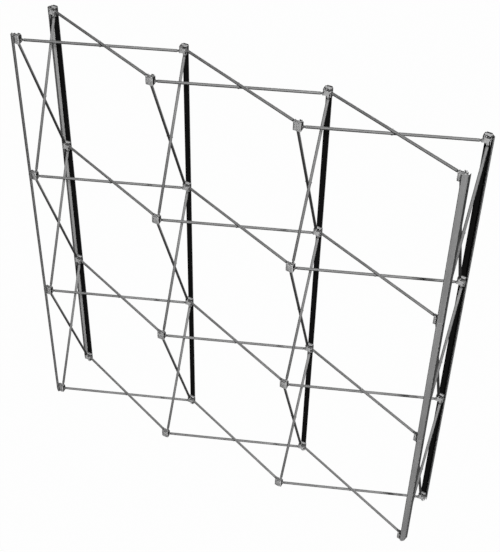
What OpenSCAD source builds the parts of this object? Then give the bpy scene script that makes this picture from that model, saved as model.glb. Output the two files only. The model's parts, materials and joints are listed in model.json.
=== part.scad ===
// Pop-up display backwall: a folding lattice of crossed tubes between hubs, three cells wide and three high,
// with sectional channel bars on its front and at both rear corners.
// Front (the panel side) faces -Y, the rear faces +Y, and the bottom hubs stand on Z = 0.

/* [Lattice] */
// Distance between neighbouring columns of hubs
col_pitch = 690; // [400:5:900]
// Distance between neighbouring rows of hubs
row_pitch = 745; // [400:1:900]
// Distance between the front and the rear pin planes
frame_depth = 261; // [160:1:420]

/* [Tubes] */
// Outside diameter of a lattice tube
tube_d = 13; // [10:0.5:18]
// Wall of a lattice tube
tube_wall = 1; // [0.6:0.1:2]
// Thickness of the washer between two crossed tubes
washer_t = 0.5; // [0.4:0.1:2]
// Diameter of the washer between two crossed tubes
washer_d = 10; // [8:0.5:14]
// Diameter of the rivet where two tubes cross
rivet_d = 4; // [3:0.5:5]
// Diameter of the rivet heads
rivet_head_d = 8; // [6.5:0.5:10]
// Height of the rivet heads
rivet_head_h = 1.4; // [0.8:0.1:2]

/* [Tube ends] */
// Thickness of the tongue on a tube end
tongue_t = 3.6; // [2.4:0.1:4.6]
// Distance from a hub pin to the end of the tube
tongue_l = 12; // [11:0.5:24]
// Length of the plug inside the tube
plug_l = 24; // [12:1:60]
// Height of the chamfered collar at the tube's mouth
collar_h = 1.5; // [0.8:0.1:2.5]

/* [Hubs] */
// Distance from the hub's centre to each of its four pins
claw_reach = 16.5; // [15.5:0.5:18.5]
// Radius of the rounded claw ends and of the tongues
claw_r = 6.5; // [5:0.25:7.5]
// Thickness of each cheek of a claw
cheek_t = 2.8; // [2:0.1:3.6]
// Length of the flat that ends each claw
claw_flat = 5; // [3:0.5:8]
// Diameter of the hub pins
pin_d = 4; // [3:0.5:5]
// Diameter of the hub pins' heads
pin_head_d = 7; // [5.5:0.5:9]
// Height of the hub pins' heads
pin_head_h = 1; // [0.6:0.1:1.6]
// Radius of the hub's middle
core_r = 11; // [10:0.5:13]
// Height of the hub's face plate
plate_h = 40; // [30:1:44]
// Distance from the pin plane to the outer face of the face plate
plate_y = 22.5; // [20:0.1:22.8]
// Corner cut of the face plate and of the flange behind it
plate_corner = 2; // [1:0.5:5]
// Height of the flange behind the face plate
flange_h = 45; // [44:1:56]
// Thickness of the flange
flange_t = 5; // [3:0.5:6]
// Thickness of the hub's two side walls
side_t = 2.5; // [1.5:0.1:3]
// Height of the side walls at their inner edge
side_h = 34; // [26:1:38]
// Distance by which the side walls reach back past the pin plane
side_back = 3.5; // [0.5:0.5:5]
// Width of the grooves in the face plate
groove_w = 1.2; // [0.8:0.1:2]
// Depth of the grooves in the face plate
groove_d = 0.8; // [0.4:0.1:1.2]
// Spacing of the grooves in the face plate
groove_pitch = 6.5; // [4:0.5:8]

/* [Channel bars] */
// Outside width of a channel bar
bar_w = 26.5; // [25:0.5:28]
// Wall of a channel bar
bar_wall = 1.5; // [1:0.1:2]
// Depth of the channel inside a bar
channel_d = 5; // [3.5:0.25:6]
// Width of the angled wing along an end bar
wing_w = 18; // [14:0.5:20]
// Angle by which the wing bends back
wing_bend = 42; // [38:1:45]
// Depth of the return that closes the wing of a front end bar
wing_return = 13; // [4:0.5:16]
// Rise of the bars above the top row of hub centres
bar_top = 22; // [20:0.5:40]
// Height of the bars' lower ends above the floor
bar_floor_gap = 1; // [0.5:0.5:4]
// Corner radius at the bars' upper ends
top_round = 4; // [1:0.5:10]
// Corner radius at the bars' lower ends
bottom_round = 12.5; // [4:0.5:12.5]
// Thickness of the magnetic strip inside a bar
strip_t = 1.5; // [0.8:0.1:1.6]
// Distance from a section's end to its magnetic strip
strip_margin = 4; // [3.5:0.5:30]

/* [Rear corner bars] */
// Angle by which the rear corner bars turn outwards
rear_turn = 34; // [30:1:42]
// Distance from the hub's centre to the magnetic strip of a rear corner bar
rear_seat = 26.8; // [26.6:0.1:32]
// Sideways shift of a rear corner bar, towards the inside
rear_shift = 2.6; // [1:0.1:4]
// Height of the wedge bracket that carries a rear corner bar
bracket_h = 30; // [14:1:36]
// Width of the wedge bracket's seat under the magnetic strip
bracket_seat = 16; // [10:0.5:16]
// Width of the bracket's base, from the face plate's outer edge
bracket_base = 11.5; // [8:0.5:20]

/* [Section hinges] */
// Radius of the hinge knuckles between two bar sections
knuckle_r = 2; // [1.8:0.1:2.4]
// Length of each hinge knuckle
knuckle_l = 7; // [5:0.5:7.5]
// Diameter of the hinge pins
hinge_pin_d = 2; // [1.2:0.1:2.4]

/* [Clearances] */
// Gap between pieces that slide off or stand close to each other
part_gap = 0.3; // [0.2:0.05:0.5]
// Radial running clearance of pins and rivets
run_gap = 0.05; // [0.02:0.01:0.1]
// Radial gap between a plug and its tube
plug_gap = 0.1; // [0.05:0.05:0.3]

/* [Hidden] */
$fn = 48;

last = 3;                       // index of the last column and of the last row
eps = 0.01;                     // overlap that joins two shapes of one piece
front = -1;
rear = 1;

slot_w = tongue_t + 2 * part_gap;
cross_off = (tube_d + washer_t) / 2;
claw_tip = claw_reach + sqrt(claw_r * claw_r - claw_flat * claw_flat / 4);
tube_rise = row_pitch - 2 * claw_reach;
tube_run = col_pitch - 2 * claw_reach;
level_l = norm([tube_run, frame_depth]);
column_l = norm([tube_rise, frame_depth]);
level_angle = atan2(frame_depth, tube_run);
column_angle = atan2(frame_depth, tube_rise);

plate_w = bar_w - 2 * bar_wall - 2 * part_gap;
front_web = plate_y + part_gap + strip_t;      // inner face of a front bar's web, from the pin plane
rear_web = rear_seat + strip_t;                // the same on a rear corner bar, from the hub's centre
wing_run = wing_w * cos(wing_bend);
wing_drop = wing_w * sin(wing_bend);
hinge_w = 3 * knuckle_l + 2 * part_gap;

flange_y = front_web - channel_d - part_gap;   // the channel's walls stop just short of the flange
wing_room = (channel_d + part_gap + bar_wall) * cos(wing_bend) - bar_wall - part_gap;
flange_x = bar_w / 2 + wing_room / sin(wing_bend);      // the flange stops just short of the wing

front_out = front_web + bar_wall + knuckle_r;
rear_face = rear_web + bar_wall;
rear_edge_out = (bar_w / 2 + rear_shift) * sin(rear_turn) + rear_face * cos(rear_turn);
rear_hinge_out = (hinge_w / 2 + rear_shift) * sin(rear_turn) + (rear_face + knuckle_r) * cos(rear_turn);
rear_out = max(rear_edge_out, rear_hinge_out);
mid_y = (front_out - rear_out) / 2;            // puts the origin in the middle of the whole depth

function col_x(c) = (c - last / 2) * col_pitch;
function row_z(r) = claw_tip + r * row_pitch;
function side_y(side) = mid_y + side * frame_depth / 2;
function outward(c) = c == 0 ? -1 : 1;
function is_end(c) = c == 0 || c == last;

// A section's lower and upper edge: 0 is the lower section, 1 the middle one and 2 the upper one
function section_lo(s) = s == 0 ? bar_floor_gap : row_z(s) + part_gap;
function section_hi(s) = s == 2 ? row_z(last) + bar_top : row_z(s + 1) - part_gap;

// ---- Lattice tubes ----

module tube(length) {
    difference() {
        cylinder(h = length - 2 * tongue_l, d = tube_d, center = true);
        cylinder(h = length, d = tube_d - 2 * tube_wall, center = true);
        rotate([0, 90, 0]) cylinder(h = 2 * tube_d, r = rivet_d / 2 + run_gap, center = true);
    }
}

module tongue_end(length) {
    plug_r = tube_d / 2 - tube_wall - plug_gap;
    collar_z = length / 2 - tongue_l;
    difference() {
        union() {
            translate([0, 0, collar_z - plug_l]) cylinder(h = plug_l + eps, r = plug_r);
            translate([0, 0, collar_z]) cylinder(h = collar_h, d1 = tube_d, d2 = tube_d - 2 * tube_wall);
            translate([-tongue_t / 2, -claw_r, collar_z]) cube([tongue_t, 2 * claw_r, tongue_l]);
            translate([0, 0, length / 2]) rotate([0, 90, 0]) cylinder(h = tongue_t, r = claw_r, center = true);
        }
        translate([0, 0, length / 2]) rotate([0, 90, 0])
            cylinder(h = 2 * tongue_t, r = pin_d / 2 + run_gap, center = true);
    }
}

module both_ends(length) {
    tongue_end(length);
    rotate([0, 180, 0]) tongue_end(length);
}

// A tube's own axis is Z and its pins lie along X; the two tubes of a pair lean opposite ways
module level_pair(bay, r) {
    for (lean = [-1, 1])
        translate([col_x(bay) + col_pitch / 2, mid_y, row_z(r) - lean * cross_off])
            rotate([0, 0, lean * level_angle]) rotate([0, 90, 0]) children();
}

module column_pair(c, gap) {
    for (lean = [-1, 1])
        translate([col_x(c) - lean * cross_off, mid_y, row_z(gap) + row_pitch / 2])
            rotate([lean * column_angle, 0, 0]) children();
}

module level_tubes(r) {
    color("silver") for (bay = [0 : last - 1]) level_pair(bay, r) tube(level_l);
}

module column_tubes(c) {
    color("silver") for (gap = [0 : last - 1]) column_pair(c, gap) tube(column_l);
}

module level_tube_ends() {
    color("gray") for (r = [0 : last], bay = [0 : last - 1]) level_pair(bay, r) both_ends(level_l);
}

module column_tube_ends() {
    color("gray") for (c = [0 : last], gap = [0 : last - 1]) column_pair(c, gap) both_ends(column_l);
}

// ---- Rivets where tubes cross ----

module scissor_rivet() {
    grip = 2 * tube_d + washer_t + 2 * run_gap;
    cylinder(h = grip, d = rivet_d, center = true);
    cylinder(h = washer_t - 2 * run_gap, d = washer_d, center = true);
    for (end = [0, 180])
        rotate([end, 0, 0]) translate([0, 0, grip / 2]) cylinder(h = rivet_head_h, d = rivet_head_d);
}

module scissor_rivets() {
    color("darkgray") {
        for (r = [0 : last], bay = [0 : last - 1])
            translate([col_x(bay) + col_pitch / 2, mid_y, row_z(r)]) scissor_rivet();
        for (c = [0 : last], gap = [0 : last - 1])
            translate([col_x(c), mid_y, row_z(gap) + row_pitch / 2]) rotate([0, 90, 0]) scissor_rivet();
    }
}

// ---- Hubs: +Y is outward, and each claw holds one tongue beside the hub's centre line ----

module at_hub(c, r, side) {
    translate([col_x(c), side_y(side), row_z(r)]) rotate([0, 0, side == rear ? 0 : 180]) children();
}

module at_claws() {
    for (turn = [0 : 90 : 270]) rotate([0, -turn, 0]) translate([claw_reach, 0, cross_off]) children();
}

module claw_body() {
    thick = slot_w + 2 * cheek_t;
    intersection() {
        union() {
            cylinder(h = thick, r = claw_r, center = true);
            translate([-claw_reach, -claw_r, -thick / 2]) cube([claw_reach, 2 * claw_r, thick]);
        }
        translate([-claw_reach, -claw_r, -thick]) cube([claw_tip, 2 * claw_r, 2 * thick]);
    }
}

module claw_cut() {
    cut_r = claw_r + part_gap;
    cylinder(h = slot_w, r = cut_r, center = true);
    translate([0, -2 * claw_r, -slot_w / 2]) cube([2 * claw_r, 4 * claw_r, slot_w]);
    cylinder(h = 4 * slot_w, r = pin_d / 2 + run_gap, center = true);
    for (end = [0, 180]) rotate([end, 0, 0]) translate([0, 0, slot_w / 2 + cheek_t])
        cylinder(h = pin_head_h + run_gap + part_gap, r = pin_head_d / 2 + part_gap);
}

// A plate with cut corners: half its width and height, its outer face and its thickness
module cut_plate(w, h, outer_y, thick) {
    a = w - plate_corner;
    b = h - plate_corner;
    translate([0, outer_y, 0]) rotate([90, 0, 0]) linear_extrude(thick)
        polygon([[-w, -b], [-a, -h], [a, -h], [w, -b], [w, b], [a, h], [-a, h], [-w, b]]);
}

// The walls that close the hub's sides, tapered from the flange to their inner edge
module side_walls() {
    h = flange_h / 2 - plate_corner;
    b = side_h / 2;
    join_y = flange_y - flange_t + eps;
    for (x = [side_t / 2 - flange_x, flange_x - side_t / 2])
        translate([x, 0, 0]) rotate([90, 0, 90]) linear_extrude(side_t, center = true)
            polygon([[-side_back, -b], [join_y, -h], [join_y, h], [-side_back, b]]);
}

module hub() {
    core_h = flange_y - flange_t + claw_r;
    difference() {
        union() {
            translate([0, core_h - claw_r + eps, 0]) rotate([90, 0, 0]) cylinder(h = core_h, r = core_r);
            at_claws() claw_body();
            side_walls();
            cut_plate(flange_x, flange_h / 2, flange_y, flange_t);
            cut_plate(plate_w / 2, plate_h / 2, plate_y, plate_y - flange_y + eps);
        }
        at_claws() claw_cut();
        for (k = [-1 : 1])
            translate([k * groove_pitch - groove_w / 2, plate_y - groove_d, -plate_h])
                cube([groove_w, 2 * groove_d, 2 * plate_h]);
    }
}

module row_hubs(r) {
    color("lightgray") for (c = [0 : last], side = [front, rear]) at_hub(c, r, side) hub();
}

module hub_pin() {
    grip = slot_w + 2 * cheek_t + 2 * run_gap;
    cylinder(h = grip, d = pin_d, center = true);
    for (end = [0, 180])
        rotate([end, 0, 0]) translate([0, 0, grip / 2]) cylinder(h = pin_head_h, d = pin_head_d);
}

// The claws are numbered as at_claws turns them: +X, +Z, -X and -Z of a rear hub
function claw_used(c, r, side, k) =
    k == 1 ? r < last : k == 3 ? r > 0 : (k == 0) == (side == rear) ? c < last : c > 0;

module hub_pins() {
    color("darkgray") for (c = [0 : last], r = [0 : last], side = [front, rear], k = [0 : 3])
        if (claw_used(c, r, side, k))
            at_hub(c, r, side) rotate([0, -90 * k, 0]) translate([claw_reach, 0, cross_off]) hub_pin();
}

// ---- Wedge brackets that turn the rear corner bars ----

function turned(t, n) = [t * cos(rear_turn) + n * sin(rear_turn), n * cos(rear_turn) - t * sin(rear_turn)];

// It lies on the face plate's outer half and steps down onto the flange beside it
module bracket() {
    w = plate_w / 2;
    seat_n = rear_seat - part_gap;
    edge_t = (flange_x - seat_n * sin(rear_turn)) / cos(rear_turn);
    translate([0, 0, -bracket_h / 2]) linear_extrude(bracket_h)
        polygon([[w - bracket_base, plate_y], [w, plate_y], [w, flange_y], [flange_x, flange_y],
                 turned(edge_t, seat_n), turned(edge_t - bracket_seat, seat_n)]);
}

module rear_bar_brackets() {
    color("lightgray") for (c = [0, last], r = [0 : last])
        translate([col_x(c), side_y(rear), row_z(r)]) mirror([outward(c) < 0 ? 1 : 0, 0, 0]) bracket();
}

// ---- Channel bars: X runs towards the wing, Y outwards, and the web's middle is X = 0 ----

module at_bar(c, side) {
    turn = side == rear ? rear_turn : 0;
    shift = side == rear ? -rear_shift : 0;
    translate([col_x(c), side_y(side), 0])
        mirror([outward(c) < 0 ? 1 : 0, 0, 0])
            mirror([0, side == front ? 1 : 0, 0])
                rotate([0, 0, -turn]) translate([shift, 0, 0]) children();
}

// A web between two short walls, with the bent wing of an end bar and the return that closes it
module channel_profile(web, wing, closed) {
    translate([-bar_w / 2, web]) square([bar_w, bar_wall]);
    for (x = [-bar_w / 2, bar_w / 2 - bar_wall])
        translate([x, web - channel_d]) square([bar_wall, channel_d + eps]);
    if (wing)
        translate([bar_w / 2, web + bar_wall]) rotate(-wing_bend)
            translate([0, -bar_wall]) square([wing_w, bar_wall]);
    if (wing && closed)
        translate([bar_w / 2 + wing_run - bar_wall, web + bar_wall - wing_drop - wing_return])
            square([bar_wall, wing_return]);
}

// Outline of a section seen from outside, rounded only where the whole bar ends
module rounded_end(w, round) {
    translate([-w / 2 + round, 0]) circle(r = round);
    translate([w / 2 - round, 0]) circle(r = round);
    translate([-w / 2 + round, -round]) square([w - 2 * round + eps, round]);
}

module section_outline(s, wing) {
    lo = section_lo(s) + (s == 0 ? bottom_round : 0);
    hi = section_hi(s) - (s == 2 ? top_round : 0);
    translate([-bar_w / 2, lo]) square([bar_w, hi - lo]);
    if (wing) translate([bar_w / 2 - eps, lo]) square([wing_run + bar_wall, hi - lo]);
    if (s == 0) translate([0, lo]) rounded_end(bar_w, bottom_round);
    if (s == 2) translate([0, hi]) mirror([0, 1]) rounded_end(bar_w, top_round);
}

// Where the hinge knuckles lie across the bar: the middle section owns the middle one
module at_knuckles(web, middle) {
    step = knuckle_l + part_gap;
    for (k = middle ? [0] : [-1, 1]) translate([k * step, web + bar_wall, 0]) rotate([0, 90, 0]) children();
}

// Half of a hinge at height z: this section's knuckles, and the notches for the other section's
module with_hinge(web, s, z) {
    middle = s == 1;
    difference() {
        union() {
            difference() {
                children();
                translate([0, 0, z]) at_knuckles(web, !middle)
                    cylinder(h = knuckle_l + 2 * part_gap, r = knuckle_r + part_gap, center = true);
            }
            translate([0, 0, z]) at_knuckles(web, middle) cylinder(h = knuckle_l, r = knuckle_r, center = true);
        }
        translate([0, web + bar_wall, z]) rotate([0, 90, 0])
            cylinder(h = hinge_w + bar_wall, r = hinge_pin_d / 2 + run_gap, center = true);
    }
}

module plain_section(web, s, wing, closed) {
    intersection() {
        linear_extrude(section_hi(last - 1) + bar_top) channel_profile(web, wing, closed);
        translate([0, 2 * (web + bar_wall), 0]) rotate([90, 0, 0]) linear_extrude(4 * (web + bar_wall))
            section_outline(s, wing);
    }
}

module bar_section(c, side, s) {
    web = side == rear ? rear_web : front_web;
    closed = side == front;
    color("gainsboro") at_bar(c, side)
        if (s == 1)
            with_hinge(web, s, row_z(1)) with_hinge(web, s, row_z(2)) plain_section(web, s, is_end(c), closed);
        else
            with_hinge(web, s, row_z(s == 0 ? 1 : 2)) plain_section(web, s, is_end(c), closed);
}

// The strip lies on the inner face of the web, between the channel's walls
module strip_section(c, side, s) {
    web = side == rear ? rear_web : front_web;
    w = bar_w - 2 * bar_wall - 2 * run_gap;
    lo = section_lo(s) + (s == 0 ? bottom_round : strip_margin);
    hi = section_hi(s) - (s == 2 ? top_round : strip_margin);
    color([0.08, 0.08, 0.08]) at_bar(c, side)
        translate([-w / 2, web - strip_t, lo]) cube([w, strip_t, hi - lo]);
}

module hinge_pins(c, side) {
    web = side == rear ? rear_web : front_web;
    color("darkgray") at_bar(c, side) for (r = [1, 2])
        translate([0, web + bar_wall, row_z(r)]) rotate([0, 90, 0])
            cylinder(h = hinge_w, d = hinge_pin_d, center = true);
}

level_tubes(0);  // level_1_tubes
level_tubes(1);  // level_2_tubes
level_tubes(2);  // level_3_tubes
level_tubes(3);  // level_4_tubes
column_tubes(0);  // column_1_tubes
column_tubes(1);  // column_2_tubes
column_tubes(2);  // column_3_tubes
column_tubes(3);  // column_4_tubes
level_tube_ends();
column_tube_ends();
scissor_rivets();
hub_pins();
row_hubs(0);  // row_1_hubs
row_hubs(1);  // row_2_hubs
row_hubs(2);  // row_3_hubs
row_hubs(3);  // row_4_hubs
rear_bar_brackets();
bar_section(0, front, 0);  // front_bar_1_lower
bar_section(0, front, 1);  // front_bar_1_middle
bar_section(0, front, 2);  // front_bar_1_upper
bar_section(1, front, 0);  // front_bar_2_lower
bar_section(1, front, 1);  // front_bar_2_middle
bar_section(1, front, 2);  // front_bar_2_upper
bar_section(2, front, 0);  // front_bar_3_lower
bar_section(2, front, 1);  // front_bar_3_middle
bar_section(2, front, 2);  // front_bar_3_upper
bar_section(3, front, 0);  // front_bar_4_lower
bar_section(3, front, 1);  // front_bar_4_middle
bar_section(3, front, 2);  // front_bar_4_upper
bar_section(0, rear, 0);  // rear_bar_1_lower
bar_section(0, rear, 1);  // rear_bar_1_middle
bar_section(0, rear, 2);  // rear_bar_1_upper
bar_section(3, rear, 0);  // rear_bar_4_lower
bar_section(3, rear, 1);  // rear_bar_4_middle
bar_section(3, rear, 2);  // rear_bar_4_upper
strip_section(0, front, 0);  // front_strip_1_lower
strip_section(0, front, 1);  // front_strip_1_middle
strip_section(0, front, 2);  // front_strip_1_upper
strip_section(1, front, 0);  // front_strip_2_lower
strip_section(1, front, 1);  // front_strip_2_middle
strip_section(1, front, 2);  // front_strip_2_upper
strip_section(2, front, 0);  // front_strip_3_lower
strip_section(2, front, 1);  // front_strip_3_middle
strip_section(2, front, 2);  // front_strip_3_upper
strip_section(3, front, 0);  // front_strip_4_lower
strip_section(3, front, 1);  // front_strip_4_middle
strip_section(3, front, 2);  // front_strip_4_upper
strip_section(0, rear, 0);  // rear_strip_1_lower
strip_section(0, rear, 1);  // rear_strip_1_middle
strip_section(0, rear, 2);  // rear_strip_1_upper
strip_section(3, rear, 0);  // rear_strip_4_lower
strip_section(3, rear, 1);  // rear_strip_4_middle
strip_section(3, rear, 2);  // rear_strip_4_upper
hinge_pins(0, front);  // front_hinge_pins_1
hinge_pins(1, front);  // front_hinge_pins_2
hinge_pins(2, front);  // front_hinge_pins_3
hinge_pins(3, front);  // front_hinge_pins_4
hinge_pins(0, rear);  // rear_hinge_pins_1
hinge_pins(3, rear);  // rear_hinge_pins_4
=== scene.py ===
# Pop-up display backwall: the looks of its frame of crossed tubes, its hubs and its channel bars.
import json
import math

import bpy
from mathutils import Matrix, Vector

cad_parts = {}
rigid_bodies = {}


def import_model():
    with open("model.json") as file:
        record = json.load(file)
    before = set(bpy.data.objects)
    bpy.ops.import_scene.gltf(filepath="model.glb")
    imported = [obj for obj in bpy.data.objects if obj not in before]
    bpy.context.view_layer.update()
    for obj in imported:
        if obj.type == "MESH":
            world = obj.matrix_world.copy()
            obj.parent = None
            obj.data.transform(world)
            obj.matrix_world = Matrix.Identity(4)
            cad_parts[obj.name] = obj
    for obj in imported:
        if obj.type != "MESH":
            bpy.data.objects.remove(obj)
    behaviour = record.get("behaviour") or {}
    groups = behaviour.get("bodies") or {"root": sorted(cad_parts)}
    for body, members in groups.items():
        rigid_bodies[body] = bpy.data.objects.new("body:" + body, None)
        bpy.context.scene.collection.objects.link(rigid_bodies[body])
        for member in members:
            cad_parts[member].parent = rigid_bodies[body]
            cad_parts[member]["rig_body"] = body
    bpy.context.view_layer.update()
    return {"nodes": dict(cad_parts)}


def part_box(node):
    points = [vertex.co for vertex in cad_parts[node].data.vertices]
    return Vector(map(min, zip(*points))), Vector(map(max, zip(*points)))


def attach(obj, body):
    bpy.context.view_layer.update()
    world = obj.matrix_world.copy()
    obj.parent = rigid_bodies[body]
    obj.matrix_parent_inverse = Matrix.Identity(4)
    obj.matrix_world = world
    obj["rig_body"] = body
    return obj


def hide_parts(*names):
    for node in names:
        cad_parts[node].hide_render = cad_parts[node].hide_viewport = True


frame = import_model()
scene = bpy.context.scene
nodes = frame["nodes"]
bpy.ops.object.select_all(action="DESELECT")
print("frame loaded:", len(nodes), "nodes")

# The lattice, in metres. Column 1 is at -X, row 1 is on the floor, and the front is at -Y.
lattice = {
    "depth": 0.261,       # between the pins of the front and the rear hubs
    "pinOff": 0.0165,     # from a hub's centre to a pin
    "crossOff": 0.00675,  # from the middle of a crossing to a tube's axis
}


def middle(nodeName):
    low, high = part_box(nodeName)
    return (low + high) / 2


columnX = [middle(f"column_{i}_tubes").x for i in (1, 2, 3, 4)]
rowZ = [middle(f"level_{i}_tubes").z for i in (1, 2, 3, 4)]
midY = middle("scissor_rivets").y
levelSpan = columnX[1] - columnX[0] - 2 * lattice["pinOff"]
columnSpan = rowZ[1] - rowZ[0] - 2 * lattice["pinOff"]
levelLean = math.atan2(lattice["depth"], levelSpan)    # of a level tube from the X axis
columnLean = math.atan2(lattice["depth"], columnSpan)  # of a column tube from the Z axis
leans = (-1, 1)                                        # the two tubes of a crossing

view = {
    "place": (-1.96821, 3.68277, 4.89172),
    "azimuth": 28.8171,
    "elevation": 41.3061,
    "roll": 0.3051,
    "lens": 76.464,
    "sensor": 36,
    "shift": (0.04528, -0.00566),
    "farthest": 100,
}


def placeCamera():
    az, el, roll = (math.radians(view[key]) for key in ("azimuth", "elevation", "roll"))
    forward = Vector((math.sin(az) * math.cos(el), -math.cos(az) * math.cos(el), -math.sin(el)))
    right = forward.cross(Vector((0, 0, 1))).normalized()
    up = right.cross(forward)
    turnedRight = right * math.cos(roll) + up * math.sin(roll)
    turnedUp = up * math.cos(roll) - right * math.sin(roll)
    turn = Matrix((turnedRight, turnedUp, -forward)).transposed()
    bpy.ops.object.camera_add(location=view["place"], rotation=turn.to_euler())
    camera = bpy.context.object
    camera.name = "camera"
    camera.data.lens = view["lens"]
    camera.data.sensor_width = view["sensor"]
    camera.data.shift_x, camera.data.shift_y = view["shift"]
    camera.data.clip_end = view["farthest"]
    scene.camera = camera
    return forward


lookAlong = placeCamera()
print("camera placed")


class Wire:
    def __init__(self, finish, socket):
        self.finish = finish
        self.socket = socket

    def __add__(self, other):
        return self.finish.maths("ADD", self, other)

    __radd__ = __add__

    def __sub__(self, other):
        return self.finish.maths("SUBTRACT", self, other)

    def __rsub__(self, other):
        return self.finish.maths("SUBTRACT", other, self)

    def __mul__(self, other):
        return self.finish.maths("MULTIPLY", self, other)

    __rmul__ = __mul__


bumpDepth = 0.0002  # metres that a full step of a bump pattern stands out


class Finish:
    def __init__(self, name, tree=None):
        if tree is None:
            self.material = bpy.data.materials.new(name)
            self.material.use_nodes = True
            tree = self.material.node_tree
        self.tree = tree
        self.tree.nodes.clear()

    def node(self, kind, settings=None, sockets=None, out=0):
        made = self.tree.nodes.new(kind)
        for key, value in (settings or {}).items():
            setattr(made, key, value)
        for key, value in (sockets or {}).items():
            if isinstance(value, Wire):
                self.tree.links.new(value.socket, made.inputs[key])
            else:
                made.inputs[key].default_value = value
        return Wire(self, made.outputs[out])

    def maths(self, operation, *values):
        return self.node("ShaderNodeMath", {"operation": operation}, dict(enumerate(values)))

    def place(self):
        return self.node("ShaderNodeTexCoord", out="Object")

    def facing(self, axis):
        normal = self.node("ShaderNodeTexCoord", out="Normal")
        return self.node("ShaderNodeSeparateXYZ", sockets={0: normal}, out=axis)

    def fade(self, value, span, toLow=0.0, toHigh=1.0):
        low, high = span
        sockets = {"Value": value, "From Min": low, "From Max": high, "To Min": toLow, "To Max": toHigh}
        return self.node("ShaderNodeMapRange", {"interpolation_type": "SMOOTHSTEP"}, sockets)

    def sideways(self, span):
        # 1 where a face turns to the object's left or right
        return self.fade(self.maths("ABSOLUTE", self.facing("X")), span)

    def upwards(self, span):
        return self.fade(self.facing("Z"), span)

    def mapped(self, vector, turn=(0, 0, 0), scale=(1, 1, 1)):
        return self.node("ShaderNodeMapping", sockets={"Vector": vector, "Rotation": turn, "Scale": scale})

    def noise(self, vector, scale, detail, roughness=0.5):
        sockets = {"Vector": vector, "Scale": scale, "Detail": detail, "Roughness": roughness}
        return self.node("ShaderNodeTexNoise", sockets=sockets)

    def stretched(self, vector, scale, detail, roughness=0.5, turn=(0, 0, 0)):
        # noise drawn out along the axes where its scale is low
        return self.noise(self.mapped(vector, turn, scale), 1.0, detail, roughness)

    def blend(self, factor, first, second):
        sockets = {0: factor, 6: first, 7: second}
        return self.node("ShaderNodeMix", {"data_type": "RGBA"}, sockets, out=2)

    def bump(self, height, strength):
        sockets = {"Height": height, "Strength": strength, "Distance": bumpDepth}
        return self.node("ShaderNodeBump", sockets=sockets)

    def surface(self, **sockets):
        words = {"colour": "Base Color", "roughness": "Roughness", "metallic": "Metallic",
                 "specular": "Specular IOR Level", "normal": "Normal"}
        named = {words[key]: value for key, value in sockets.items()}
        shader = self.node("ShaderNodeBsdfPrincipled", sockets=named)
        self.ending("ShaderNodeOutputMaterial", shader)
        return self.material

    def ending(self, kind, shader):
        end = self.tree.nodes.new(kind)
        self.tree.links.new(shader.socket, end.inputs["Surface"])


def grey(level):
    return (level, level, level, 1.0)


# Satin anodised tube: die lines along it, a cloudy skin and small dark nicks, and painted shade that darkens
# it on top and beneath
tubeLook = {
    "dark": 0.26, "light": 0.37, "nickTone": 0.156, "paintedShadeTone": 0.026,
    "lineScale": (3, 900, 900), "cloudScale": 11.0, "nickScale": 230.0,
    "lineShare": 0.55, "toneSpan": (0.35, 0.65), "nickSpan": (0.68, 0.76), "nickShare": 0.3,
    # the spans and the share below set the painted shade beneath the tube and on its top
    "paintedUnderShadeSpan": (-0.35, 0.55), "paintedTopShadeSpan": (0.66, 0.95), "top": 0.4,
    "roughSpan": (0.3, 0.7), "smoothest": 0.42, "roughest": 0.58, "specular": 0.05, "bump": 0.15,
}


def tubeFinish(name, turn):
    look = tubeLook
    skin = Finish(name)
    place = skin.place()
    lines = skin.stretched(skin.mapped(place, turn), look["lineScale"], detail=4.0, roughness=0.6)
    cloud = skin.noise(place, look["cloudScale"], detail=4.0)
    nicks = skin.fade(skin.noise(place, look["nickScale"], detail=2.0), look["nickSpan"])
    shade = lines * look["lineShare"] + cloud * (1 - look["lineShare"])
    colour = skin.blend(skin.fade(shade, look["toneSpan"]), grey(look["dark"]), grey(look["light"]))
    colour = skin.blend(nicks * look["nickShare"], colour, grey(look["nickTone"]))
    # painted shade: the colour turns dark where the tube faces down, and partly dark where it faces straight
    # up
    paintedShade = grey(look["paintedShadeTone"])
    colour = skin.blend(1 - skin.upwards(look["paintedUnderShadeSpan"]), colour, paintedShade)
    colour = skin.blend(skin.upwards(look["paintedTopShadeSpan"]) * look["top"], colour, paintedShade)
    rough = skin.fade(shade, look["roughSpan"], look["smoothest"], look["roughest"])
    normal = skin.bump(lines, look["bump"])
    return skin.surface(colour=colour, roughness=rough, specular=look["specular"], normal=normal)


# Moulded plastic: a fine grain in the surface, faint flow marks and a few pale scuffs, and painted shade on
# side faces and top faces
mouldedLook = {
    "grainScale": 1100.0, "flowScale": (60, 60, 18),
    "scuffScale": (90, 900, 260), "scuffTurn": (0.4, 0.7, 0.2),
    "toneSpan": (0.3, 0.7), "scuffSpan": (0.66, 0.74), "scuffShare": 0.25, "scuffTone": 1.15,
    "paintedSideShadeSpan": (0.35, 0.85), "paintedTopShadeSpan": (0.7, 0.95), "paintedShadeTone": 0.12,
    "roughSpread": 0.07, "specular": 0.1, "bump": 0.3,
}


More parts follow.
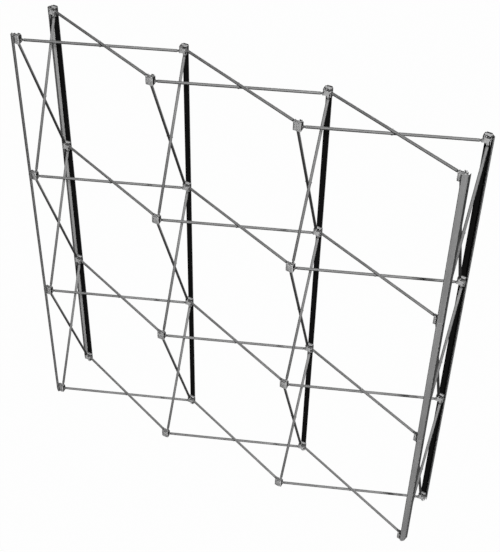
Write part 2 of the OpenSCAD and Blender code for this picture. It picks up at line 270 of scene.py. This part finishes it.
def moulded(name, dark, light, roughness, aside=0.0, top=0.0):
    look = mouldedLook
    skin = Finish(name)
    place = skin.place()
    grain = skin.noise(place, look["grainScale"], detail=3.0, roughness=0.6)
    flow = skin.stretched(place, look["flowScale"], detail=4.0, roughness=0.55)
    scratches = skin.stretched(place, look["scuffScale"], detail=2.0, turn=look["scuffTurn"])
    scuffs = skin.fade(scratches, look["scuffSpan"])
    paintedShade = grey(dark * look["paintedShadeTone"])
    colour = skin.blend(skin.fade(flow, look["toneSpan"]), grey(dark), grey(light))
    colour = skin.blend(scuffs * look["scuffShare"], colour, grey(light * look["scuffTone"]))
    # painted shade: faces turned left or right, and faces turned up, are darkened by the aside and top
    # shares
    colour = skin.blend(skin.sideways(look["paintedSideShadeSpan"]) * aside, colour, paintedShade)
    colour = skin.blend(skin.upwards(look["paintedTopShadeSpan"]) * top, colour, paintedShade)
    spread = look["roughSpread"]
    rough = skin.fade(grain, look["toneSpan"], roughness - spread, roughness + spread)
    normal = skin.bump(grain, look["bump"])
    return skin.surface(colour=colour, roughness=rough, specular=look["specular"], normal=normal)


# Anodised extrusion: die lines up the bar, slow changes in tone and rubbed streaks, and painted shade on
# faces turned to the sides
extrudedLook = {
    "lineScale": (800, 800, 2.5), "slowScale": 6.0, "rubScale": (160, 160, 9),
    "lineShare": 0.55, "toneSpan": (0.35, 0.65), "rubSpan": (0.6, 0.78), "rubShare": 0.3, "rubTone": 1.2,
    "paintedSideShadeTo": 0.95, "paintedShadeTone": 0.08,
    "roughSpan": (0.3, 0.7), "smoothest": 0.42, "roughest": 0.58, "specular": 0.05, "bump": 0.15,
}


def extruded(name, dark, light, aside, paintedSideShadeFrom):
    look = extrudedLook
    skin = Finish(name)
    place = skin.place()
    lines = skin.stretched(place, look["lineScale"], detail=4.0, roughness=0.65)
    slow = skin.noise(place, look["slowScale"], detail=4.0)
    rubbed = skin.fade(skin.stretched(place, look["rubScale"], detail=3.0), look["rubSpan"])
    shade = lines * look["lineShare"] + slow * (1 - look["lineShare"])
    colour = skin.blend(skin.fade(shade, look["toneSpan"]), grey(dark), grey(light))
    colour = skin.blend(rubbed * look["rubShare"], colour, grey(light * look["rubTone"]))
    # painted shade: faces turned left or right are darkened by the aside share
    paintedSideShadeMask = skin.sideways((paintedSideShadeFrom, look["paintedSideShadeTo"]))
    colour = skin.blend(paintedSideShadeMask * aside, colour, grey(dark * look["paintedShadeTone"]))
    rough = skin.fade(shade, look["roughSpan"], look["smoothest"], look["roughest"])
    normal = skin.bump(lines, look["bump"])
    return skin.surface(colour=colour, roughness=rough, specular=look["specular"], normal=normal)


# Black magnet tape and the blackened inside of the channels: streaks up the bar and a fine grain
blackLook = {
    "grainScale": 900.0, "streakUp": 5, "toneSpan": (0.35, 0.65), "grainSpan": (0.3, 0.7),
    "roughSpread": 0.08, "specular": 0.0, "bump": 0.25,
}


def blackened(name, dark, light, streaksAcross, roughness):
    look = blackLook
    skin = Finish(name)
    place = skin.place()
    grain = skin.noise(place, look["grainScale"], detail=3.0, roughness=0.6)
    streaks = skin.stretched(place, (streaksAcross, streaksAcross, look["streakUp"]), detail=3.0)
    colour = skin.blend(skin.fade(streaks, look["toneSpan"]), grey(dark), grey(light))
    spread = look["roughSpread"]
    rough = skin.fade(grain, look["grainSpan"], roughness - spread, roughness + spread)
    normal = skin.bump(grain, look["bump"])
    return skin.surface(colour=colour, roughness=rough, specular=look["specular"], normal=normal)


# Zinc plated steel of the rivets and pins
platedLook = {
    "dark": 0.22, "light": 0.32, "crystalScale": 700.0, "crystalSpan": (0.3, 0.7),
    "smoothest": 0.34, "roughest": 0.48, "metallic": 0.15, "specular": 0.3, "bump": 0.1,
}


def plated(name):
    look = platedLook
    skin = Finish(name)
    crystals = skin.noise(skin.place(), look["crystalScale"], detail=3.0, roughness=0.6)
    colour = skin.blend(skin.fade(crystals, look["crystalSpan"]), grey(look["dark"]), grey(look["light"]))
    rough = skin.fade(crystals, look["crystalSpan"], look["smoothest"], look["roughest"])
    return skin.surface(colour=colour, roughness=rough, metallic=look["metallic"], specular=look["specular"],
                        normal=skin.bump(crystals, look["bump"]))


# the hub body and face plate get painted shade on their side and top faces
hubBody = moulded("hubBody", dark=0.54, light=0.62, roughness=0.55, aside=0.95, top=0.85)
# a lighter copy of the hub plastic for the face plate, as painted light
hubPaintedLitFace = moulded("hubPaintedLitFace", dark=0.56, light=0.64, roughness=0.55, aside=0.9, top=0.85)
# a near-black copy of the hub plastic, as painted shade in the hubs' recesses and grooves
hubPaintedShade = moulded("hubPaintedShade", dark=0.01, light=0.016, roughness=0.6)
endPlastic = moulded("endPlastic", dark=0.13, light=0.17, roughness=0.5)
# the bar metal gets painted shade on its side faces
barMetal = extruded("barMetal", dark=0.28, light=0.34, aside=0.98, paintedSideShadeFrom=0.6)
# the wing metal is a lighter copy of the bar metal, as painted light, with painted shade on its side faces
paintedLitWingMetal = extruded("paintedLitWingMetal", dark=0.3, light=0.36, aside=0.76, paintedSideShadeFrom=0.75)
channelBlack = blackened("channelBlack", dark=0.0025, light=0.004, streaksAcross=300, roughness=0.7)
magnetTape = blackened("magnetTape", dark=0.008, light=0.012, streaksAcross=500, roughness=0.75)
platedSteel = plated("platedSteel")
print("finishes made")


def finished(piece, nodeName):
    # Every piece stands for one node and rides on that node's body
    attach(piece, nodes[nodeName]["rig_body"])
    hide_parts(nodeName)


def refinish(nodeName, material):
    # A node that keeps its own shape gets a better material
    for materialSlot in nodes[nodeName].material_slots:
        materialSlot.material = material


meshCare = {
    "joinWithin": 0.00001,  # metres
    "flatWithin": 0.5,      # degrees, as the other angles
    "roundFrom": 38,
    "smoothTo": 35,
    "squareOn": 0.9,        # a normal with this much along an axis is square to it
}


def shaped(nodeName):
    # A copy of the node's mesh with its corners joined and its flat triangles made whole faces
    piece = bpy.data.objects.new(nodeName + "_piece", nodes[nodeName].data.copy())
    scene.collection.objects.link(piece)
    piece.data.materials.clear()
    piece.select_set(True)
    bpy.context.view_layer.objects.active = piece
    bpy.ops.object.mode_set(mode="EDIT")
    bpy.ops.mesh.select_all(action="SELECT")
    bpy.ops.mesh.remove_doubles(threshold=meshCare["joinWithin"])
    bpy.ops.mesh.dissolve_limited(angle_limit=math.radians(meshCare["flatWithin"]))
    bpy.ops.object.mode_set(mode="OBJECT")
    return piece


def bevelled(piece, width, segments, fromAngle):
    bevel = piece.modifiers.new("roundedEdges", "BEVEL")
    bevel.width = width
    bevel.segments = segments
    bevel.limit_method = "ANGLE"
    bevel.angle_limit = math.radians(fromAngle)
    bpy.ops.object.modifier_apply(modifier=bevel.name)
    bpy.ops.object.shade_smooth_by_angle(angle=math.radians(meshCare["smoothTo"]))
    piece.select_set(False)


# Tubes: one is made with its wall and rolled at the mouths, then copied to each place with its own mesh
tubeSize = {"outside": 0.013, "wall": 0.001, "endGap": 0.012, "sides": 28, "rim": 0.0003, "rimFrom": 60}


def makeTube(span):
    length = math.hypot(span, lattice["depth"]) - 2 * tubeSize["endGap"]
    bpy.ops.mesh.primitive_cylinder_add(vertices=tubeSize["sides"], radius=tubeSize["outside"] / 2,
                                        depth=length, end_fill_type="NOTHING")
    tube = bpy.context.object
    wall = tube.modifiers.new("wall", "SOLIDIFY")
    wall.thickness = tubeSize["wall"]
    wall.offset = -1
    bpy.ops.object.modifier_apply(modifier=wall.name)
    bevelled(tube, tubeSize["rim"], 2, tubeSize["rimFrom"])
    return tube


def tubeRow(nodeName, pattern, places, looks):
    # places holds a matrix and a lean for each tube of the node
    made = []
    for matrix, lean in places:
        tube = bpy.data.objects.new("tube", pattern.data.copy())
        scene.collection.objects.link(tube)
        tube.data.transform(matrix)
        tube.data.materials.clear()
        tube.data.materials.append(looks[lean])
        tube.select_set(True)
        made.append(tube)
    bpy.context.view_layer.objects.active = made[0]
    bpy.ops.object.join()
    piece = bpy.context.object
    piece.name = nodeName + "_piece"
    piece.select_set(False)
    finished(piece, nodeName)


def levelPlace(bay, row, lean):
    x = (columnX[bay] + columnX[bay + 1]) / 2
    z = rowZ[row] - lean * lattice["crossOff"]
    turn = Matrix.Rotation(lean * levelLean, 4, "Z") @ Matrix.Rotation(math.pi / 2, 4, "Y")
    return Matrix.Translation((x, midY, z)) @ turn


def columnPlace(column, gap, lean):
    x = columnX[column] - lean * lattice["crossOff"]
    z = (rowZ[gap] + rowZ[gap + 1]) / 2
    return Matrix.Translation((x, midY, z)) @ Matrix.Rotation(lean * columnLean, 4, "X")


levelLooks = {lean: tubeFinish(f"levelTube{lean + 2}", (0, 0, -lean * levelLean)) for lean in leans}
upright = math.pi / 2
columnLooks = {lean: tubeFinish(f"columnTube{lean + 2}", (-lean * columnLean, upright, 0)) for lean in leans}
levelTube = makeTube(levelSpan)
columnTube = makeTube(columnSpan)
for i in range(4):
    levelPlaces = [(levelPlace(bay, i, lean), lean) for bay in range(3) for lean in leans]
    tubeRow(f"level_{i + 1}_tubes", levelTube, levelPlaces, levelLooks)
    columnPlaces = [(columnPlace(i, gap, lean), lean) for gap in range(3) for lean in leans]
    tubeRow(f"column_{i + 1}_tubes", columnTube, columnPlaces, columnLooks)
for pattern in (levelTube, columnTube):
    bpy.data.objects.remove(pattern)
print("tubes made")


# Bars: measured across, and outwards from the hubs' centres, as in the part's source
barLook = {
    "width": 0.0265,
    "frontFace": 0.0258,
    "rearFace": 0.0298,
    "rearTurn": math.radians(34),
    "rearShift": 0.0026,
    "skin": 0.0002,      # faces this near to the outside still show bare metal
    "wingFrom": 0.0005,  # past the channel's side
    "rounding": 0.0004,
}
barLines = [("front", 0), ("front", 1), ("front", 2), ("front", 3), ("rear", 0), ("rear", 3)]


def acrossAndOut(point, side, column):
    outward = -1 if column == 0 else 1
    way = 1 if side == "rear" else -1
    x = (point.x - columnX[column]) * outward
    y = (point.y - midY) * way - lattice["depth"] / 2
    if side == "front":
        return x, y
    turn = barLook["rearTurn"]
    across = x * math.cos(turn) - y * math.sin(turn) + barLook["rearShift"]
    return across, x * math.sin(turn) + y * math.cos(turn)


def makeBar(side, column, part):
    nodeName = f"{side}_bar_{column + 1}_{part}"
    piece = shaped(nodeName)
    for material in (barMetal, channelBlack, paintedLitWingMetal):
        piece.data.materials.append(material)
    face = barLook[side + "Face"] - barLook["skin"]
    edge = barLook["width"] / 2 - barLook["skin"]
    wing = barLook["width"] / 2 + barLook["wingFrom"]
    for polygon in piece.data.polygons:
        across, out = acrossAndOut(polygon.center, side, column)
        if abs(across) < edge and out < face and abs(polygon.normal.z) < meshCare["squareOn"]:
            polygon.material_index = 1
        # the front bars' wings take the lighter copy of the metal, painted light
        elif side == "front" and across > wing:
            polygon.material_index = 2
    bevelled(piece, barLook["rounding"], 2, meshCare["roundFrom"])
    finished(piece, nodeName)


for side, column in barLines:
    for part in ("lower", "middle", "upper"):
        makeBar(side, column, part)
        refinish(f"{side}_strip_{column + 1}_{part}", magnetTape)
print("bars made")


# Hubs: the face plate is painted a little lighter than the body, as painted light, and the slots, the core,
# the walls' inner sides and the grooves get painted shade in a near-black copy of the plastic. Distances are
# from a hub's centre, across or outwards.
hubLook = {
    "faceFrom": 0.0189,
    "grooveFrom": 0.02,
    "grooveTo": 0.0223,
    "grooveSide": 0.0078,
    "slot": 0.0023,    # half a claw's slot, with some room
    "core": 0.0112,
    "coreTurn": 0.3,   # the core's faces turn less than this to the front or rear
    "wallIn": 0.0154,
    "rounding": 0.0005,
}


# faces that get painted shade: the slots' sides, the core and the walls' inner sides
def inPaintedHubShade(x, z, normal):
    squareX = abs(normal.x) > meshCare["squareOn"]
    squareZ = abs(normal.z) > meshCare["squareOn"]
    inSlot = (squareZ and abs(abs(z) - lattice["crossOff"]) < hubLook["slot"]
              or squareX and abs(abs(x) - lattice["crossOff"]) < hubLook["slot"])
    onCore = abs(normal.y) < hubLook["coreTurn"] and math.hypot(x, z) < hubLook["core"]
    return inSlot or onCore or squareX and abs(x) > hubLook["wallIn"]


def makeHubs(nodeName):
    piece = shaped(nodeName)
    for material in (hubBody, hubPaintedLitFace, hubPaintedShade):
        piece.data.materials.append(material)
    for polygon in piece.data.polygons:
        x = min((polygon.center.x - column for column in columnX), key=abs)
        z = min((polygon.center.z - row for row in rowZ), key=abs)
        out = abs(polygon.center.y - midY) - lattice["depth"] / 2
        inGroove = hubLook["grooveFrom"] < out < hubLook["grooveTo"] and abs(x) < hubLook["grooveSide"]
        if out > hubLook["faceFrom"] and not inGroove:
            polygon.material_index = 1
        elif inGroove or inPaintedHubShade(x, z, polygon.normal):
            polygon.material_index = 2
    bevelled(piece, hubLook["rounding"], 2, meshCare["roundFrom"])
    finished(piece, nodeName)


for i in range(4):
    makeHubs(f"row_{i + 1}_hubs")

# Each with its material, the width and steps of its rounding, and its slot
smallParts = {
    "rear_bar_brackets": (hubBody, 0.0006, 2, "hub_plastic"),
    "level_tube_ends": (endPlastic, 0.0003, 1, "end_plastic"),
    "column_tube_ends": (endPlastic, 0.0003, 1, "end_plastic"),
    "hub_pins": (platedSteel, 0.0006, 2, "rivet_steel"),
    "scissor_rivets": (platedSteel, 0.0007, 2, "rivet_steel"),
}
for nodeName, (material, width, segments, slotName) in smallParts.items():
    piece = shaped(nodeName)
    piece.data.materials.append(material)
    bevelled(piece, width, segments, meshCare["roundFrom"])
    finished(piece, nodeName)
for nodeName in nodes:
    if "hinge_pins" in nodeName:
        refinish(nodeName, platedSteel)
print("hubs and small parts made")


# Light: a lamp beside the camera, one from above, and two that fill the front. None fades with distance.
studio = {
    "aim": Vector((0, 0, 1.1)),
    "away": 8.0,
    "key": 0.93,
    "keyBack": 0.5,    # behind the camera
    "keyAside": 1.5,   # to its right
    "keySize": 0.7,
    "top": 0.1,
    "topWay": Vector((0.35, -0.1, -1)),
    "topSize": 2.0,
    "fill": 0.35,
    "fillWays": {"frontLeftLamp": Vector((0.35, 1, -0.35)), "frontRightLamp": Vector((-0.35, 1, -0.35))},
    "fillSize": 2.5,
    "ambient": 0.015,
    "floorSize": 60,
    "floorWhite": 0.985,
    "floorTone": 0.15,
}


def whiteWhereSeen(finish):
    camera, glossy, through = (finish.node("ShaderNodeLightPath", out=f"Is {kind} Ray")
                               for kind in ("Camera", "Glossy", "Transmission"))
    return finish.maths("MINIMUM", camera + glossy + through, 1.0)


def makeFloor():
    bpy.ops.mesh.primitive_plane_add(size=studio["floorSize"], location=(0, 0, 0))
    floor = bpy.context.object
    floor.name = "floor"
    pale = Finish("paleFloor")
    matt = pale.node("ShaderNodeBsdfDiffuse", sockets={"Color": grey(studio["floorTone"])})
    glow = pale.node("ShaderNodeEmission", sockets={"Color": grey(1.0), "Strength": 1.0})
    seen = whiteWhereSeen(pale) * studio["floorWhite"]
    mixed = pale.node("ShaderNodeMixShader", sockets={0: seen, 1: matt, 2: glow})
    pale.ending("ShaderNodeOutputMaterial", mixed)
    floor.data.materials.append(pale.material)


def makeWorld():
    world = bpy.data.worlds.new("paleRoom")
    scene.world = world
    world.use_nodes = True
    room = Finish("paleRoom", world.node_tree)
    strength = whiteWhereSeen(room) * (1 - studio["ambient"]) + studio["ambient"]
    glow = room.node("ShaderNodeBackground", sockets={"Color": grey(1.0), "Strength": strength})
    room.ending("ShaderNodeOutputWorld", glow)


def addLamp(name, place, way, size, level):
    # level 1 lights a white matt surface that faces the lamp to exactly white
    bpy.ops.object.light_add(type="AREA", location=place, rotation=way.to_track_quat("-Z", "Y").to_euler())
    lamp = bpy.context.object
    lamp.name = name
    lamp.data.shape = "DISK"
    lamp.data.size = size
    lamp.data.energy = math.pi ** 2 * level
    lamp.data.use_nodes = True
    beam = Finish(name, lamp.data.node_tree)
    strength = beam.node("ShaderNodeLightFalloff", sockets={"Strength": 1.0}, out="Constant")
    glow = beam.node("ShaderNodeEmission", sockets={"Color": grey(1.0), "Strength": strength})
    beam.ending("ShaderNodeOutputLight", glow)


def addFarLamp(name, way, size, level):
    straight = way.normalized()
    addLamp(name, studio["aim"] - straight * studio["away"], straight, size, level)


makeFloor()
makeWorld()
aside = lookAlong.cross(Vector((0, 0, 1))).normalized()
besideCamera = Vector(view["place"]) - lookAlong * studio["keyBack"] + aside * studio["keyAside"]
keyWay = (studio["aim"] - besideCamera).normalized()
addLamp("keyLamp", besideCamera, keyWay, studio["keySize"], studio["key"])
addFarLamp("topLamp", studio["topWay"], studio["topSize"], studio["top"])
for name, way in studio["fillWays"].items():
    addFarLamp(name, way, studio["fillSize"], studio["fill"])
scene.view_settings.view_transform = "Standard"
print("studio lit")
